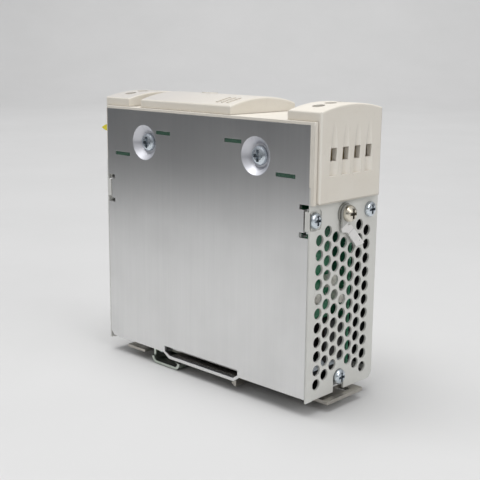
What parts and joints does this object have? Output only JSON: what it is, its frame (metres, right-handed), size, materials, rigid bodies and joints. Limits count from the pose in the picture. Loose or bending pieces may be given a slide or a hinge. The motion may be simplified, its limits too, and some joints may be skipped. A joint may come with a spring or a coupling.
{
  "type": "din rail power supply",
  "caption": "Metal-cased power supply that clips onto a top-hat rail, with vented ends, a moulded front, a hinged flap over its controls and clamp terminals at both ends.",
  "frame": {"origin": "on the rail seat, the face that rests on the rail, below the middle of the case", "axes": "+X along the case from the output terminals to the input terminals, across the rail; +Y along the rail, from the bare aluminium plate to the painted side; +Z from the rail to the moulded front"},
  "size_m": [0.1291, 0.044, 0.1226],
  "materials": {
    "bare_aluminium": "brushed, grain across the case",
    "painted_sheet": "satin light grey-beige paint",
    "cream_plastic": "fine moulded texture",
    "lens_plastic": "smooth, translucent",
    "circuit_board": "green solder mask",
    "zinc_steel": "bright zinc plating",
    "black_plastic": "matt black",
    "ferrite": "dark sintered ferrite",
    "copper_winding": "enamelled copper wire",
    "yellow_tape": "insulating film",
    "black_sleeve": "shrunk sleeve",
    "blue_sleeve": "shrunk sleeve",
    "can_aluminium": "drawn can",
    "fuse_ceramic": "glazed ceramic",
    "pad_rubber": "soft thermal pad",
    "trimmer_blue": "smooth",
    "pale_plastic": "smooth",
    "led_green": "translucent",
    "terminal_green": "moulded",
    "tinned_copper": "plated copper strip",
    "cage_brass": "yellow passivated",
    "hook_steel": "zinc with a greenish cast",
    "spring_steel": "brown-grey oiled spring steel",
    "spring_wire": "drawn wire",
    "nickel_brass": "nickel over brass",
    "washer_steel": "stamped",
    "tinned_lug": "pale tinned strip",
    "marker_yellow": "thin moulded tab"
  },
  "bodies": {
    "case": {"side_plate": "bare_aluminium", "end_walls": "painted_sheet", "far_side_wall": "painted_sheet", "front_housing": "cream_plastic", "input_terminal_cover": "cream_plastic", "output_terminal_cover": "cream_plastic", "flap_hinge_pin": "zinc_steel", "main_board": "circuit_board", "control_board": "circuit_board", "terminal_boards": "circuit_board", "board_standoffs": "zinc_steel", "insulation_sheet": "black_plastic", "transformer_core": "ferrite", "transformer_winding": "copper_winding", "transformer_tape": "yellow_tape", "emi_choke_core": "ferrite", "emi_choke_winding": "yellow_tape", "output_choke": "copper_winding", "bulk_capacitor": "black_sleeve", "output_capacitors": "blue_sleeve", "input_capacitors": "can_aluminium", "fuse": "fuse_ceramic", "bridge_rectifier": "black_plastic", "relay": "black_plastic", "power_transistors": "black_plastic", "thermal_pads": "pad_rubber", "voltage_trimmer_body": "trimmer_blue", "mode_switch_body": "black_plastic", "status_leds": "led_green", "terminal_blocks": "terminal_green", "terminal_bars": "tinned_copper", "rail_hook": "hook_steel", "latch_spring": "spring_wire", "latch_rivets": "zinc_steel", "small_screws": "zinc_steel", "ground_screw": "nickel_brass", "ground_washer": "washer_steel", "ground_tab": "tinned_lug", "marker_tab": "marker_yellow"},
    "flap": {"front_flap": "cream_plastic", "status_lens": "lens_plastic"},
    "latch": {"rail_latch": "spring_steel"},
    "trimmer_rotor": {"voltage_trimmer_rotor": "pale_plastic"},
    "switch_slider": {"mode_switch_slider": "pale_plastic"},
    "input_screw_1": {"input_screw_1": "zinc_steel"},
    "input_cage_1": {"input_cage_1": "cage_brass"},
    "input_screw_2": {"input_screw_2": "zinc_steel"},
    "input_cage_2": {"input_cage_2": "cage_brass"},
    "input_screw_3": {"input_screw_3": "zinc_steel"},
    "input_cage_3": {"input_cage_3": "cage_brass"},
    "input_screw_4": {"input_screw_4": "zinc_steel"},
    "input_cage_4": {"input_cage_4": "cage_brass"},
    "output_screw_1": {"output_screw_1": "zinc_steel"},
    "output_cage_1": {"output_cage_1": "cage_brass"},
    "output_screw_2": {"output_screw_2": "zinc_steel"},
    "output_cage_2": {"output_cage_2": "cage_brass"},
    "output_screw_3": {"output_screw_3": "zinc_steel"},
    "output_cage_3": {"output_cage_3": "cage_brass"},
    "output_screw_4": {"output_screw_4": "zinc_steel"},
    "output_cage_4": {"output_cage_4": "cage_brass"}
  },
  "joints": [
    {"name": "flap_hinge", "type": "hinge", "parent": "case", "child": "flap", "pos_m": [-0.0353, 0, 0.112], "axis": [0, -1, 0], "range_deg": [0, 110]},
    {"name": "latch_slide", "type": "slide", "parent": "case", "child": "latch", "axis": [1, 0, 0], "range_m": [0, 0.0045], "stiffness_N_per_m": 1500, "springref_m": -0.003, "deforming": ["latch_spring"]},
    {"name": "voltage_trim", "type": "hinge", "parent": "case", "child": "trimmer_rotor", "pos_m": [0.004, -0.008, 0.1], "axis": [0, 0, 1], "range_deg": [-135, 135]},
    {"name": "mode_switch", "type": "slide", "parent": "case", "child": "switch_slider", "axis": [1, 0, 0], "range_m": [0, 0.0032]},
    {"name": "input_screw_turn_1", "type": "hinge", "parent": "case", "child": "input_screw_1", "pos_m": [0.055, -0.01185, 0.104], "axis": [0, 0, -1], "range_deg": [0, 2161]},
    {"name": "input_cage_lift_1", "type": "slide", "parent": "case", "child": "input_cage_1", "axis": [0, 0, 1], "range_m": [0, 0.003]},
    {"name": "input_screw_turn_2", "type": "hinge", "parent": "case", "child": "input_screw_2", "pos_m": [0.055, -0.00449, 0.104], "axis": [0, 0, -1], "range_deg": [0, 2161]},
    {"name": "input_cage_lift_2", "type": "slide", "parent": "case", "child": "input_cage_2", "axis": [0, 0, 1], "range_m": [0, 0.003]},
    {"name": "input_screw_turn_3", "type": "hinge", "parent": "case", "child": "input_screw_3", "pos_m": [0.055, 0.00288, 0.104], "axis": [0, 0, -1], "range_deg": [0, 2161]},
    {"name": "input_cage_lift_3", "type": "slide", "parent": "case", "child": "input_cage_3", "axis": [0, 0, 1], "range_m": [0, 0.003]},
    {"name": "input_screw_turn_4", "type": "hinge", "parent": "case", "child": "input_screw_4", "pos_m": [0.055, 0.01026, 0.104], "axis": [0, 0, -1], "range_deg": [0, 2161]},
    {"name": "input_cage_lift_4", "type": "slide", "parent": "case", "child": "input_cage_4", "axis": [0, 0, 1], "range_m": [0, 0.003]},
    {"name": "output_screw_turn_1", "type": "hinge", "parent": "case", "child": "output_screw_1", "pos_m": [-0.055, -0.01185, 0.104], "axis": [0, 0, -1], "range_deg": [0, 2161]},
    {"name": "output_cage_lift_1", "type": "slide", "parent": "case", "child": "output_cage_1", "axis": [0, 0, 1], "range_m": [0, 0.003]},
    {"name": "output_screw_turn_2", "type": "hinge", "parent": "case", "child": "output_screw_2", "pos_m": [-0.055, -0.00449, 0.104], "axis": [0, 0, -1], "range_deg": [0, 2161]},
    {"name": "output_cage_lift_2", "type": "slide", "parent": "case", "child": "output_cage_2", "axis": [0, 0, 1], "range_m": [0, 0.003]},
    {"name": "output_screw_turn_3", "type": "hinge", "parent": "case", "child": "output_screw_3", "pos_m": [-0.055, 0.00288, 0.104], "axis": [0, 0, -1], "range_deg": [0, 2161]},
    {"name": "output_cage_lift_3", "type": "slide", "parent": "case", "child": "output_cage_3", "axis": [0, 0, 1], "range_m": [0, 0.003]},
    {"name": "output_screw_turn_4", "type": "hinge", "parent": "case", "child": "output_screw_4", "pos_m": [-0.055, 0.01026, 0.104], "axis": [0, 0, -1], "range_deg": [0, 2161]},
    {"name": "output_cage_lift_4", "type": "slide", "parent": "case", "child": "output_cage_4", "axis": [0, 0, 1], "range_m": [0, 0.003]}
  ],
  "couplings": [
    {"joint": "input_screw_turn_1", "follows": "input_cage_lift_1", "rad_per_m": 12566},
    {"joint": "input_screw_turn_2", "follows": "input_cage_lift_2", "rad_per_m": 12566},
    {"joint": "input_screw_turn_3", "follows": "input_cage_lift_3", "rad_per_m": 12566},
    {"joint": "input_screw_turn_4", "follows": "input_cage_lift_4", "rad_per_m": 12566},
    {"joint": "output_screw_turn_1", "follows": "output_cage_lift_1", "rad_per_m": 12566},
    {"joint": "output_screw_turn_2", "follows": "output_cage_lift_2", "rad_per_m": 12566},
    {"joint": "output_screw_turn_3", "follows": "output_cage_lift_3", "rad_per_m": 12566},
    {"joint": "output_screw_turn_4", "follows": "output_cage_lift_4", "rad_per_m": 12566}
  ]
}
